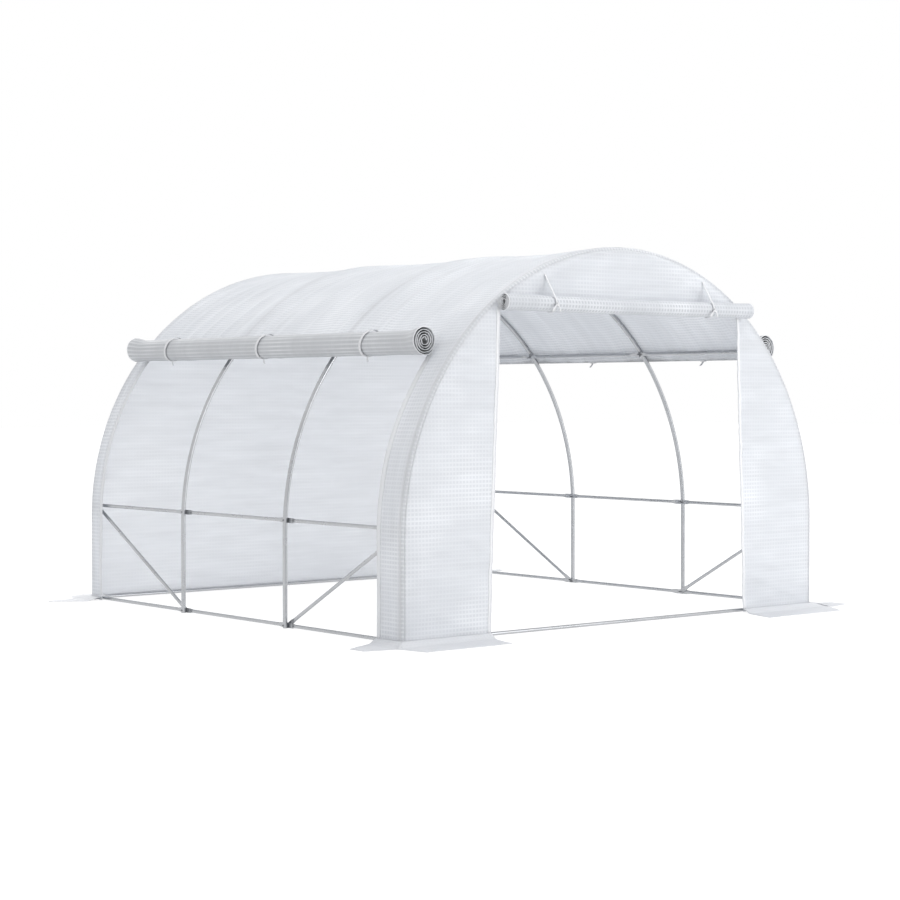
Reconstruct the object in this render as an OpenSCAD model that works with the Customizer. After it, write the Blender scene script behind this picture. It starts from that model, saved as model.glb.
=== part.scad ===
// Polytunnel greenhouse: four galvanised tube hoops, bolted rails and braces, and a sheet cover
// whose door and both side walls are rolled up and tied.
// X runs across the tunnel, Y along it with the doorway at -Y, Z up from the ground.

/* [Tunnel] */
// Width over the hoops
tunnel_w = 3000; // [2600:10:3600]
// Length over the two end hoops
tunnel_l = 3000; // [2400:10:3600]
// Height of the straight legs, up to where the arch springs
leg_h = 500; // [400:5:700]

/* [Hoop tubes] */
// Outside diameter of the hoop tube
hoop_d = 25; // [22:0.5:32]
// Wall of every tube
tube_wall = 1.2; // [0.8:0.1:1.6]
// Straight end of the arch below the spring line
arch_tail = 80; // [70:5:120]
// Length of the narrowed leg end inside the arch
spigot_l = 60; // [30:5:65]
// Radial play between the leg end and the arch bore
spigot_gap = 0.3; // [0.2:0.05:0.5]

/* [Rails and braces] */
// Outside diameter of rails, braces and sills
rail_d = 19; // [16:0.5:22]
// Width of a flattened tube end
tab_w = 26; // [22:0.5:28]
// Flat length from the bolt hole to where the tube starts to open
tab_l = 46; // [40:1:60]
// Length over which the flat end opens to the round tube
taper_l = 32; // [20:1:50]
// Bolt hole in the flattened ends
bolt_d = 6.5; // [5:0.5:8]
// Height of the waist rails above the spring line
waist_rise = 66; // [50:1:100]
// Angle of the eave rails up the arch
eave_rail_angle = 41; // [36:0.5:50]
// Clear height of the ground rails' flat ends above the ground
rail_lift = 1; // [0.5:0.5:6]

/* [Cover] */
// Thickness of the cover sheet
cover_t = 3; // [2:0.5:4]
// Sag of the roof sheet between two hoops
roof_sag = 14; // [6:1:15]
// Angle up the arch at which the side walls are rolled up
eave_angle = 39; // [32:0.5:44]
// Width of the cover strips at the front end of the sides
front_strip_w = 196; // [150:2:260]
// Width of the cover strips at the back end of the sides
back_strip_w = 134; // [100:2:200]
// Play between a sheet or tape and the piece it lies on
seat_gap = 0.3; // [0.2:0.05:0.5]

/* [Doorway] */
// Width of the doorway at the ground
door_w_low = 1860; // [1500:2:1900]
// Width of the doorway at its head
door_w_high = 1736; // [1450:2:1760]
// Height of the doorway
door_h = 1665; // [1500:5:1700]
// Offset of the doorway from the middle
door_shift = -6; // [-40:1:40]
// Width of the zip tape down each door edge
zip_w = 22; // [16:1:30]
// Thickness of the zip tape
zip_t = 2; // [1:0.5:2.5]

/* [Rolled side walls] */
// Diameter of a rolled side wall
side_roll_d = 140; // [110:2:180]
// Overlap of a rolled side wall onto the cover strip at each end
side_overlap = 46; // [20:1:70]
// Offset of the left rolled wall towards the back
left_roll_shift = 32; // [-40:1:40]
// Offset of the right rolled wall towards the back
right_roll_shift = -10; // [-40:1:40]
// Distance from lap to lap in a rolled side wall
side_lap = 11; // [8:0.5:14]
// Distance from strap to strap
strap_pitch = 945; // [700:5:1100]
// Width of the webbing straps
strap_w = 20; // [15:1:30]
// Thickness of the webbing straps
strap_t = 2; // [1:0.5:3]
// Length of the strap tail below the roll
strap_tail = 26; // [15:1:50]

/* [Rolled door] */
// Diameter of the rolled door
door_roll_d = 94; // [80:2:110]
// Overlap of the rolled door onto the wall at each side of the doorway
door_overlap = 35; // [10:1:60]
// Offset of the rolled door and its ties from the middle
door_roll_shift = 10; // [-40:1:40]
// Distance from lap to lap in the rolled door
door_lap = 9; // [7:0.5:12]
// Height of the rolled door's axis above the head of the doorway
door_roll_rise = 22; // [10:1:30]
// Distance between the two door ties
tie_pitch = 1160; // [800:2:1300]
// Height of the tie anchors above the rolled door's axis
tie_rise = 152; // [120:2:180]
// Width of the door ties
tie_w = 12; // [8:1:25]
// Thickness of the door ties
tie_t = 1.5; // [1:0.5:3]
// Hollow left in the middle of every roll
core_d = 22; // [16:1:30]

/* [Ground skirts] */
// Depth of the skirts out from the cover
skirt_w = 270; // [200:5:350]
// Height at which the skirts leave the cover
skirt_rise = 24; // [12:1:40]
// Width of the sloping part of the skirts
skirt_slope = 95; // [60:5:150]

/* [Hidden] */
$fn = 96;

steel = [0.68, 0.69, 0.71];
sheet = [0.90, 0.92, 0.94];
rolled = [0.78, 0.80, 0.82];
webbing = [0.96, 0.96, 0.97];

// Sides of the tunnel as directions in X, ends of the tunnel as directions in Y
left = -1;
right = 1;
front = -1;
back = 1;

// Hoops: places along Y and the arch's centreline radius
bays = 3;
bay = (tunnel_l - hoop_d) / bays;
hoop_y = [for (i = [0 : bays]) (i - bays / 2) * bay];
arch_r = (tunnel_w - hoop_d) / 2;
joint_z = leg_h - arch_tail;
hoop_bore = hoop_d - 2 * tube_wall;

// Flattened ends: two walls pressed together, seated on the inside of the hoops in layers
tab_t = 2 * tube_wall;
layer_step = tab_t + seat_gap;
function seat_r(layer) = arch_r - hoop_d / 2 - layer_step * (layer + 1) + tab_t / 2;
ground_z = rail_lift + tab_w / 2;
waist_a = asin(waist_rise / arch_r);
ridge_a = 90;
tube_start = tab_l + taper_l;
// Thin slice that ends the tapered stretch of a tube, and how much slimmer the stretch is drawn
// than the plate and the tube that it runs into
slice = 0.5;
taper_inset = 0.1;
taper_sides = 32;

// Braces: from the ground rails' bolt on a middle leg up to the waist rails' bolt on an end hoop,
// each end lying under the two layers of rail ends
brace_layer = 2;
brace_high_z = leg_h + seat_r(brace_layer) * tan(waist_a);
brace_rise = brace_high_z - ground_z;
brace_l = norm([bay, brace_rise]);
brace_a = atan2(brace_rise, bay);

// Cover: inner and outer radius, and the planes of the end walls
cover_r = tunnel_w / 2 + seat_gap;
cover_out = cover_r + cover_t;
wall_y = tunnel_l / 2 + seat_gap;
face_y = wall_y + cover_t;
// Steps in which the roof sheet's sag is drawn along each bay
sag_steps = 8;
arch_sides = 360;

// Rolls
side_roll_l = tunnel_l - front_strip_w - back_strip_w + 2 * side_overlap;
function roll_shift(side) = side == left ? left_roll_shift : right_roll_shift;
side_axis_r = cover_out + seat_gap + side_roll_d / 2;
door_roll_l = door_w_high + 2 * door_overlap;
door_axis_y = face_y + seat_gap + door_roll_d / 2;
door_axis_z = door_h + door_roll_rise;

// Strap: a band round the roll, left open where the roll lies on the roof sheet
strap_count = 3;
tail_inset = 0.5;
strap_in = side_roll_d / 2 + seat_gap;
strap_clear_a = 3;
strap_open_a = acos(strap_in / (strap_in + strap_t)) + strap_clear_a;

// Door tie: a straight run from the anchor, tangent to the roll, then round its front and below
tie_r = door_roll_d / 2 + seat_gap;
tie_reach = [door_axis_y - face_y - seat_gap, tie_rise];
tie_line_a = atan2(tie_reach[1], -tie_reach[0]);
tie_run = sqrt(pow(norm(tie_reach), 2) - pow(tie_r, 2));
tie_touch_a = tie_line_a - acos(tie_r / norm(tie_reach));
tie_wrap_a = 180;

// Turns a shape drawn across the tunnel, with its height as Y, upright about the arch's axis
module upright() {
    translate([0, 0, leg_h])
    rotate([90, 0, 0])
    children();
}

// Mirrors a right-hand or back piece to the side or end given
module at_side(side) {
    mirror([side == left ? 1 : 0, 0, 0])
    children();
}

module at_end(end) {
    mirror([0, end == front ? 1 : 0, 0])
    children();
}

// Hoops

module arch_bar(d, overrun) {
    upright()
    rotate_extrude(angle = 180, $fn = arch_sides)
    translate([arch_r, 0])
    circle(d = d);
    for (side = [left, right])
    translate([side * arch_r, 0, joint_z - overrun])
    cylinder(d = d, h = arch_tail + overrun);
}

module hoop(y) {
    color(steel)
    translate([0, y, 0])
    difference() {
        arch_bar(hoop_d, 0);
        arch_bar(hoop_bore, slice);
    }
}

// One leg: a tube with its upper end narrowed to slide into the arch
module leg() {
    bore_r = hoop_bore / 2;
    spigot_r = bore_r - spigot_gap;
    rotate_extrude()
    polygon([
        [bore_r, 0],
        [hoop_d / 2, 0],
        [hoop_d / 2, joint_z],
        [spigot_r, joint_z],
        [spigot_r, joint_z + spigot_l],
        [spigot_r - tube_wall, joint_z + spigot_l],
        [spigot_r - tube_wall, joint_z - tube_wall],
        [bore_r, joint_z - hoop_d / 2]
    ]);
}

module legs(side) {
    color(steel)
    for (y = hoop_y)
    translate([side * arch_r, y, 0])
    leg();
}

// Rails, braces and sills

// Flat plate round a bolt hole at the origin, lying across X and running along +Y
module tab_plate(length) {
    rotate([90, 0, 90])
    translate([0, 0, -tab_t / 2])
    linear_extrude(tab_t)
    difference() {
        union() {
            circle(d = tab_w);
            translate([0, -tab_w / 2])
            square([length, tab_w]);
        }
        circle(d = bolt_d);
    }
}

// Tube end opening from the flat plate, whose edge is at the origin, to the round tube along +Y
module taper() {
    hull() {
        translate([taper_inset - tab_t / 2, 0, taper_inset - tab_w / 2])
        cube([tab_t - 2 * taper_inset, slice, tab_w - 2 * taper_inset]);
        translate([0, taper_l, 0])
        rotate([-90, 0, 0])
        cylinder(d = rail_d - 2 * taper_inset, h = slice, $fn = taper_sides);
    }
}

module rail_end() {
    tab_plate(tab_l + slice);
    translate([0, tab_l, 0])
    taper();
}

// A tube with both ends flattened, its bolt holes at the origin and at span along +Y
module rail(span) {
    rail_end();
    translate([0, span, 0])
    mirror([0, 1, 0])
    rail_end();
    translate([0, tube_start, 0])
    rotate([-90, 0, 0])
    cylinder(d = rail_d, h = span - 2 * tube_start);
}

// One rail per bay, bolted inside the hoops at an angle about the axis at height z
module rail_row(angle, z) {
    color(steel)
    for (b = [0 : bays - 1])
    translate([0, hoop_y[b], z])
    rotate([0, -angle, 0])
    translate([seat_r(b % 2), 0, 0])
    rail(bay);
}

module ground_rails(side) {
    at_side(side)
    rail_row(0, ground_z);
}

module waist_rails(side) {
    at_side(side)
    rail_row(waist_a, leg_h);
}

module eave_rails(side) {
    at_side(side)
    rail_row(eave_rail_angle, leg_h);
}

module ridge_rails() {
    rail_row(ridge_a, leg_h);
}

module braces(side) {
    color(steel)
    at_side(side)
    for (end = [front, back])
    at_end(end)
    translate([seat_r(brace_layer), hoop_y[bays - 1], ground_z])
    rotate([brace_a, 0, 0])
    rail(brace_l);
}

// Sill: its flat ends are bent round to lie on the ground rails' ends under the same bolt
module sill(end) {
    bend = tab_w / 2 + tab_t / 2;
    bend_x = seat_r(1) + tab_t / 2;
    color(steel)
    at_end(end)
    translate([0, hoop_y[bays], ground_z]) {
        for (side = [left, right])
        at_side(side) {
            translate([seat_r(1), 0, 0])
            mirror([0, 1, 0])
            tab_plate(bend + tab_t / 2);
            translate([bend_x - tab_l, -bend - tab_t / 2, -tab_w / 2])
            cube([tab_l, tab_t, tab_w]);
            translate([bend_x - tab_l + slice, -bend, 0])
            rotate([0, 0, 90])
            taper();
        }
        translate([-bend_x + tube_start - slice, -bend, 0])
        rotate([0, 90, 0])
        cylinder(d = rail_d, h = 2 * (bend_x - tube_start + slice));
    }
}

// Cover

// Sag of the roof sheet at a share of the way from one hoop to the next
function sag_at(share) = 4 * roof_sag * share * (1 - share);

// Section of the roof sheet: radius across, place along the tunnel upwards
module roof_section() {
    stations = [
        [-wall_y, 0],
        for (b = [0 : bays - 1], i = [0 : sag_steps - 1])
        [hoop_y[b] + bay * i / sag_steps, sag_at(i / sag_steps)],
        [hoop_y[bays], 0],
        [wall_y, 0]
    ];
    last = len(stations) - 1;
    polygon([
        for (s = stations) [cover_r - s[1], s[0]],
        for (i = [last : -1 : 0]) [cover_out - stations[i][1], stations[i][0]]
    ]);
}

module roof_cover() {
    color(sheet)
    upright()
    rotate([0, 0, eave_angle])
    rotate_extrude(angle = 180 - 2 * eave_angle, $fn = arch_sides)
    roof_section();
}

// Strip down one end of a side: round the arch from the eave, then straight to the ground
module strip(side, end, width) {
    color(sheet)
    at_side(side)
    at_end(end) {
        upright()
        translate([0, 0, -wall_y])
        rotate_extrude(angle = eave_angle, $fn = arch_sides)
        translate([cover_r, 0])
        square([cover_t, width]);
        translate([cover_r, wall_y - width, 0])
        cube([cover_t, width, leg_h]);
    }
}

// Outline of an end wall, with the ground as its lower edge
module wall_outline() {
    translate([0, leg_h])
    circle(r = cover_out, $fn = arch_sides);
    translate([-cover_out, 0])
    square([2 * cover_out, leg_h]);
}

module above_ground(z) {
    translate([-tunnel_w, z])
    square([2 * tunnel_w, tunnel_w + leg_h]);
}

module end_wall(end) {
    color(sheet)
    translate([0, end == front ? -wall_y : face_y, 0])
    rotate([90, 0, 0])
    linear_extrude(cover_t)
    children();
}

// Half width of the doorway at a height, as its edges lean in towards the head
function door_half(z) = (door_w_low + (door_w_high - door_w_low) * z / door_h) / 2;

module beside_door(side) {
    polygon([
        [door_shift + side * door_half(0), 0],
        [side * tunnel_w, 0],
        [side * tunnel_w, door_h],
        [door_shift + side * door_half(door_h), door_h]
    ]);
}

module front_panel(side) {
    end_wall(front)
    intersection() {
        wall_outline();
        beside_door(side);
    }
}

module front_gable() {
    end_wall(front)
    intersection() {
        wall_outline();
        above_ground(door_h);
    }
}

module back_panel() {
    end_wall(back)
    intersection() {
        wall_outline();
        above_ground(0);
    }
}

// Rolls, straps and ties

// Section of a rolled sheet: half rings struck from two centres, so that each lap runs on into
// the next; the outer lap ends at the largest reach along +X
module wound_section(d, lap, t) {
    half_laps = floor((d - core_d) / lap);
    for (k = [0 : half_laps - 1]) {
        r = d / 2 - lap / 4 - k * lap / 2;
        flip = k % 2 == 0 ? 1 : -1;
        translate([flip * lap / 4, 0])
        intersection() {
            difference() {
                circle(r = r);
                circle(r = r - t);
            }
            translate([-d, flip == 1 ? 0 : -d])
            square([2 * d, d]);
        }
    }
}

module side_roll(side) {
    color(rolled)
    at_side(side)
    upright()
    rotate([0, 0, eave_angle])
    translate([side_axis_r, 0, -roll_shift(side) - side_roll_l / 2])
    rotate([0, 0, 180])
    linear_extrude(side_roll_l)
    wound_section(side_roll_d, side_lap, cover_t);
}

module strap() {
    rotate([0, 0, 180 + strap_open_a])
    rotate_extrude(angle = 360 - 2 * strap_open_a)
    translate([strap_in, -strap_w / 2])
    square([strap_t, strap_w]);
    rotate([0, 0, -eave_angle])
    translate([-strap_t / 2, -strap_in - strap_tail, tail_inset - strap_w / 2])
    cube([strap_t, strap_tail - strap_t / 2, strap_w - 2 * tail_inset]);
}

module roll_straps(side) {
    color(webbing)
    at_side(side)
    for (i = [0 : strap_count - 1])
    translate([0, roll_shift(side) + (i - (strap_count - 1) / 2) * strap_pitch, 0])
    upright()
    rotate([0, 0, eave_angle])
    translate([side_axis_r, 0, 0])
    strap();
}

module door_roll() {
    color(rolled)
    translate([door_roll_shift - door_roll_l / 2, -door_axis_y, door_axis_z])
    rotate([90, 0, 90])
    linear_extrude(door_roll_l)
    wound_section(door_roll_d, door_lap, cover_t);
}

// Tie with the roll's axis at the origin along Z, the wall towards +X and Y up
module tie() {
    rotate([0, 0, 180 - tie_touch_a]) {
        translate([tie_r, -tie_run, 0])
        cube([tie_t, tie_run, tie_w]);
        rotate_extrude(angle = tie_wrap_a)
        translate([tie_r, 0])
        square([tie_t, tie_w]);
    }
}

module door_ties() {
    color(webbing)
    for (side = [left, right])
    translate([door_roll_shift + side * tie_pitch / 2 - tie_w / 2, -door_axis_y, door_axis_z])
    rotate([90, 0, 90])
    tie();
}

module door_zip(side) {
    color(webbing)
    translate([0, -face_y, 0])
    rotate([90, 0, 0])
    linear_extrude(zip_t)
    polygon([
        [door_shift + side * door_half(skirt_rise), skirt_rise],
        [door_shift + side * (door_half(skirt_rise) + zip_w), skirt_rise],
        [door_shift + side * (door_half(door_h) + zip_w), door_h],
        [door_shift + side * door_half(door_h), door_h]
    ]);
}

// Ground skirts

// Skirt running out along +X from the cover, its length along Y
module skirt(length) {
    color(sheet)
    rotate([90, 0, 0])
    translate([0, 0, -length])
    linear_extrude(length)
    polygon([
        [0, skirt_rise],
        [skirt_slope, cover_t],
        [skirt_w, cover_t],
        [skirt_w, 0],
        [skirt_slope, 0],
        [0, skirt_rise - cover_t]
    ]);
}

module front_skirt(side) {
    inner_x = door_half(0) + side * door_shift;
    at_side(side)
    translate([inner_x, -face_y, 0])
    rotate([0, 0, -90])
    skirt(cover_out - inner_x);
}

module back_skirt() {
    translate([cover_out, face_y, 0])
    rotate([0, 0, 90])
    skirt(2 * cover_out);
}

module side_skirt(side, end, width) {
    at_side(side)
    at_end(end)
    translate([cover_out, wall_y - width, 0])
    skirt(width);
}

hoop(hoop_y[0]);  // front_hoop
hoop(hoop_y[1]);  // mid_front_hoop
hoop(hoop_y[2]);  // mid_back_hoop
hoop(hoop_y[3]);  // back_hoop
legs(left);  // left_legs
legs(right);  // right_legs
ground_rails(left);  // left_ground_rails
ground_rails(right);  // right_ground_rails
waist_rails(left);  // left_waist_rails
waist_rails(right);  // right_waist_rails
eave_rails(left);  // left_eave_rails
eave_rails(right);  // right_eave_rails
ridge_rails();
braces(left);  // left_braces
braces(right);  // right_braces
sill(front);  // front_sill
sill(back);  // back_sill
roof_cover();
strip(left, front, front_strip_w);  // front_left_strip
strip(right, front, front_strip_w);  // front_right_strip
strip(left, back, back_strip_w);  // back_left_strip
strip(right, back, back_strip_w);  // back_right_strip
front_panel(left);  // front_left_panel
front_panel(right);  // front_right_panel
front_gable();
back_panel();
side_roll(left);  // left_side_roll
side_roll(right);  // right_side_roll
roll_straps(left);  // left_roll_straps
roll_straps(right);  // right_roll_straps
door_roll();
door_ties();
door_zip(left);  // left_door_zip
door_zip(right);  // right_door_zip
front_skirt(left);  // front_left_skirt
front_skirt(right);  // front_right_skirt
back_skirt();
side_skirt(left, front, front_strip_w);  // front_left_side_skirt
side_skirt(right, front, front_strip_w);  // front_right_side_skirt
side_skirt(left, back, back_strip_w);  // back_left_side_skirt
side_skirt(right, back, back_strip_w);  // back_right_side_skirt
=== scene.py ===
import math

import bmesh
import bpy
import numpy as np
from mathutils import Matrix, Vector, noise


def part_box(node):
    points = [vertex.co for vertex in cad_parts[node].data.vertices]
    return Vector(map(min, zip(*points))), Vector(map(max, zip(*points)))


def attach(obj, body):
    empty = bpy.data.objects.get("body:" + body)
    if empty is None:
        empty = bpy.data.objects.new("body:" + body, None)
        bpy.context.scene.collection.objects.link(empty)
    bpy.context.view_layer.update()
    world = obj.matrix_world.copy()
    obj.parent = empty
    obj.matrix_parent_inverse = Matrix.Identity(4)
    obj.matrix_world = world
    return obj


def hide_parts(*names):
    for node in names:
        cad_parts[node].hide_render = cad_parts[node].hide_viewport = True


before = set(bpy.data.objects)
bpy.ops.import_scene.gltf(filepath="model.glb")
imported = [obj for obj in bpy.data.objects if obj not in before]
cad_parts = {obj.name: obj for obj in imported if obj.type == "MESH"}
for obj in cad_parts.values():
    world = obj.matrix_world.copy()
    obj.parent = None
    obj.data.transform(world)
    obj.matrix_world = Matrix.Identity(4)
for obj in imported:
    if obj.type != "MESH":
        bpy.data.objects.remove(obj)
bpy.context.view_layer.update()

# Hoops, legs, rails, braces and sills: thin-walled steel tube, bent and cut, then hot-dip galvanised.
# The arches push onto the legs, and the other tubes have flattened ends for one bolt each.
HOOPS = ["front_hoop", "mid_front_hoop", "mid_back_hoop", "back_hoop"]
SIDE_TUBES = ["legs", "ground_rails", "waist_rails", "eave_rails", "braces"]
TUBES = HOOPS + ["ridge_rails", "front_sill", "back_sill"]
TUBES += [f"{side}_{tube}" for side in ("left", "right") for tube in SIDE_TUBES]
ZINC_DULL = (0.36, 0.37, 0.385, 1)
ZINC_BRIGHT = (0.55, 0.56, 0.58, 1)
ZINC_ROUGH = (0.24, 0.34)
ZINC_DRIFT_PER_M = 4
SPANGLES_PER_M = 70
SPANGLE_SHARE = 0.2
SPANGLE_BUMP = 0.05
SPANGLE_DEPTH = 0.0004
NOISE_MIDDLE = (0.3, 0.7)


def shade(tree, kind, inputs=None, **settings):
    """A new node with its settings made, and its inputs linked or set."""
    made = tree.nodes.new(kind)
    for name, value in settings.items():
        setattr(made, name, value)
    for name, value in (inputs or {}).items():
        if isinstance(value, bpy.types.NodeSocket):
            tree.links.new(value, made.inputs[name])
        else:
            made.inputs[name].default_value = value
    return made


def ranged(tree, value, ends, taken=NOISE_MIDDLE):
    """A value spread between two ends over the range taken; nearly all of a noise lies in its middle."""
    limits = dict(zip(("From Min", "From Max", "To Min", "To Max"), (*taken, *ends)))
    return shade(tree, "ShaderNodeMapRange", {"Value": value, **limits}).outputs["Result"]


def bumped(tree, height, strength, depth):
    relief = {"Height": height, "Strength": strength, "Distance": depth}
    return shade(tree, "ShaderNodeBump", relief).outputs["Normal"]


def blank_material(name):
    """A new material's node tree, empty but for its output node."""
    material = bpy.data.materials.new(name)
    material.use_nodes = True
    material.node_tree.nodes.clear()
    output = material.node_tree.nodes.new("ShaderNodeOutputMaterial")
    return material, material.node_tree, output.inputs["Surface"]


def galvanised_steel(name, dull, bright):
    """Zinc with its frozen crystals, duller where the bath ran off."""
    material, tree, surface = blank_material(name)
    place = shade(tree, "ShaderNodeTexCoord").outputs["Object"]
    spangle = shade(tree, "ShaderNodeTexVoronoi", {"Vector": place, "Scale": SPANGLES_PER_M})
    drift = shade(tree, "ShaderNodeTexNoise", {"Vector": place, "Scale": ZINC_DRIFT_PER_M, "Detail": 4})
    grey = shade(tree, "ShaderNodeRGBToBW", {"Color": spangle.outputs["Color"]}).outputs[0]
    tone = shade(tree, "ShaderNodeMix", {0: SPANGLE_SHARE, 2: drift.outputs["Fac"], 3: grey})
    ramp = shade(tree, "ShaderNodeValToRGB", {"Fac": tone.outputs[0]})
    ramp.color_ramp.elements[0].color = dull
    ramp.color_ramp.elements[1].color = bright
    finish = {
        "Base Color": ramp.outputs["Color"],
        "Metallic": 1.0,
        "Roughness": ranged(tree, drift.outputs["Fac"], ZINC_ROUGH),
        "Normal": bumped(tree, grey, SPANGLE_BUMP, SPANGLE_DEPTH),
    }
    tree.links.new(shade(tree, "ShaderNodeBsdfPrincipled", finish).outputs["BSDF"], surface)
    return material


zinc = galvanised_steel("galvanised_tube", ZINC_DULL, ZINC_BRIGHT)
for node in TUBES:
    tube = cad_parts[node]
    tube.data.materials.clear()
    tube.data.materials.append(zinc)

# Bolts with wing nuts: one at each rail, brace and sill end, driven from outside the hoop, with the
# nut tightened by hand from inside. Zinc plated.
BOLT_R = 0.003
HEAD_R = 0.0062
HEAD_H = 0.0035
NUT_R = 0.0065
NUT_H = 0.007
NUT_SIDES = 12
SHANK_SIDES = 10
WING_SIDES = 14
WING_W = 0.0042
WING_H = 0.0062
WING_T = 0.0012
WING_OUT = NUT_R * 1.25
WING_LEAN = math.radians(24)
TWIST_SEED = 5
TAB_T = 0.0024
TAB_GAP = 0.0003
PLATED_DULL = (0.16, 0.165, 0.175, 1)
PLATED_BRIGHT = (0.34, 0.345, 0.36, 1)

hoop_boxes = [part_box(node) for node in HOOPS]
TUBE_D = hoop_boxes[0][1].y - hoop_boxes[0][0].y
HOOP_Y = [(low.y + high.y) / 2 for low, high in hoop_boxes]
ARCH_R = (hoop_boxes[0][1].x - hoop_boxes[0][0].x - TUBE_D) / 2
SPRING_Z = hoop_boxes[0][1].z - TUBE_D / 2 - ARCH_R
BAY = HOOP_Y[1] - HOOP_Y[0]


def rail_middle(node):
    low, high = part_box(node)
    return (low + high) / 2


def rail_angle(node):
    """How far up the arch a rail lies, about the arch's axis."""
    middle = rail_middle(node)
    return math.atan2(middle.z - SPRING_Z, abs(middle.x))


EAVE_RAIL_A = rail_angle("right_eave_rails")
WAIST_A = rail_angle("right_waist_rails")
GROUND_Z = rail_middle("right_ground_rails").z


def maths(tree, operation, *values):
    return shade(tree, "ShaderNodeMath", dict(enumerate(values)), operation=operation).outputs[0]


def new_group(name, takes, numbers, makes):
    """A node group that takes geometry, numbers and a material, with its inputs' identifiers."""
    tree = bpy.data.node_groups.new(name, "GeometryNodeTree")
    kinds = {takes: "Geometry", **dict.fromkeys(numbers, "Float"), "Material": "Material"}
    ids = {
        socket: tree.interface.new_socket(socket, in_out="INPUT", socket_type=f"NodeSocket{kind}").identifier
        for socket, kind in kinds.items()
    }
    tree.interface.new_socket(makes, in_out="OUTPUT", socket_type="NodeSocketGeometry")
    return tree, ids, tree.nodes.new("NodeGroupInput").outputs


def joined(tree, *pieces):
    whole = shade(tree, "GeometryNodeJoinGeometry")
    for piece in pieces:
        tree.links.new(piece.outputs[0], whole.inputs["Geometry"])
    return whole.outputs["Geometry"]


def end_group(tree, points, instance, faced, spin, material):
    """Sets the instance on each point, faced and then spun, makes it real and gives it its material."""
    rotation = shade(
        tree,
        "FunctionNodeRotateRotation",
        {"Rotation": faced.outputs["Rotation"], "Rotate By": spin.outputs["Rotation"]},
        rotation_space="LOCAL",
    )
    placed = shade(
        tree,
        "GeometryNodeInstanceOnPoints",
        {"Points": points, "Instance": instance, "Rotation": rotation.outputs["Rotation"]},
    )
    real = shade(tree, "GeometryNodeRealizeInstances", {"Geometry": placed.outputs["Instances"]})
    painted = shade(
        tree, "GeometryNodeSetMaterial", {"Geometry": real.outputs["Geometry"], "Material": material}
    )
    shade(tree, "NodeGroupOutput", {0: painted.outputs["Geometry"]})


def facing_points(name, places, ways, edges=()):
    """Points, joined by edges or not, that carry the way the pieces set on them face."""
    mesh = bpy.data.meshes.new(name)
    mesh.from_pydata([tuple(place) for place in places], list(edges), [])
    facing = mesh.attributes.new("facing", "FLOAT_VECTOR", "POINT")
    facing.data.foreach_set("vector", np.array(ways, np.float32).ravel())
    obj = bpy.data.objects.new(name, mesh)
    bpy.context.collection.objects.link(obj)
    return obj


def run_group(obj, group, ids, values):
    """What a node group makes of an object with these values, as a plain mesh without the modifier."""
    modifier = obj.modifiers.new(group.name, "NODES")
    modifier.node_group = group
    for name, value in values.items():
        modifier[ids[name]] = value
    seen = obj.evaluated_get(bpy.context.evaluated_depsgraph_get())
    mesh = bpy.data.meshes.new_from_object(seen)
    obj.modifiers.clear()
    old = obj.data
    obj.data = mesh
    bpy.data.meshes.remove(old)
    mesh.name = obj.name
    return obj


def fixing_group():
    """Sets a bolt end, drawn along +Z, on every point, turned the way the point faces."""
    numbers = ("Bolt radius", "Nut radius", "Nut height", "Wings")
    tree, ids, given = new_group("bolt_fixings", "Points", numbers, "Fixings")
    half = maths(tree, "MULTIPLY", given["Nut height"], 0.5)
    lift = shade(tree, "ShaderNodeCombineXYZ", {"Z": half})
    nut = shade(
        tree,
        "GeometryNodeMeshCone",
        {
            "Vertices": NUT_SIDES,
            "Radius Top": given["Bolt radius"],
            "Radius Bottom": given["Nut radius"],
            "Depth": given["Nut height"],
        },
    )
    shank = shade(
        tree,
        "GeometryNodeMeshCylinder",
        {"Vertices": SHANK_SIDES, "Radius": given["Bolt radius"], "Depth": given["Nut height"]},
    )
    thread = shade(
        tree, "GeometryNodeTransform", {"Geometry": shank.outputs["Mesh"], "Translation": lift.outputs[0]}
    )
    plate = shade(tree, "GeometryNodeMeshCylinder", {"Vertices": WING_SIDES, "Radius": 1, "Depth": 2})
    wings = [
        shade(
            tree,
            "GeometryNodeTransform",
            {
                "Geometry": plate.outputs["Mesh"],
                "Translation": (side * WING_OUT, 0, NUT_H),
                "Rotation": (math.pi / 2, side * WING_LEAN, 0),
                "Scale": (WING_W, WING_H, WING_T),
            },
        )
        for side in (1, -1)
    ]
    shown = shade(tree, "ShaderNodeCombineXYZ", dict.fromkeys("XYZ", given["Wings"]))
    winged = shade(
        tree, "GeometryNodeTransform", {"Geometry": joined(tree, *wings), "Scale": shown.outputs[0]}
    )
    aim = shade(tree, "GeometryNodeInputNamedAttribute", {"Name": "facing"}, data_type="FLOAT_VECTOR")
    faced = shade(tree, "FunctionNodeAlignRotationToVector", {"Vector": aim.outputs["Attribute"]}, axis="Z")
    twist = shade(
        tree, "FunctionNodeRandomValue", {"Min": 0.0, "Max": math.pi, "Seed": TWIST_SEED}, data_type="FLOAT"
    )
    spin = shade(tree, "FunctionNodeAxisAngleToRotation", {"Axis": (0, 0, 1), "Angle": twist.outputs[1]})
    whole = joined(tree, winged, thread, nut)
    end_group(tree, given["Points"], whole, faced, spin, given["Material"])
    return tree, ids


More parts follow.
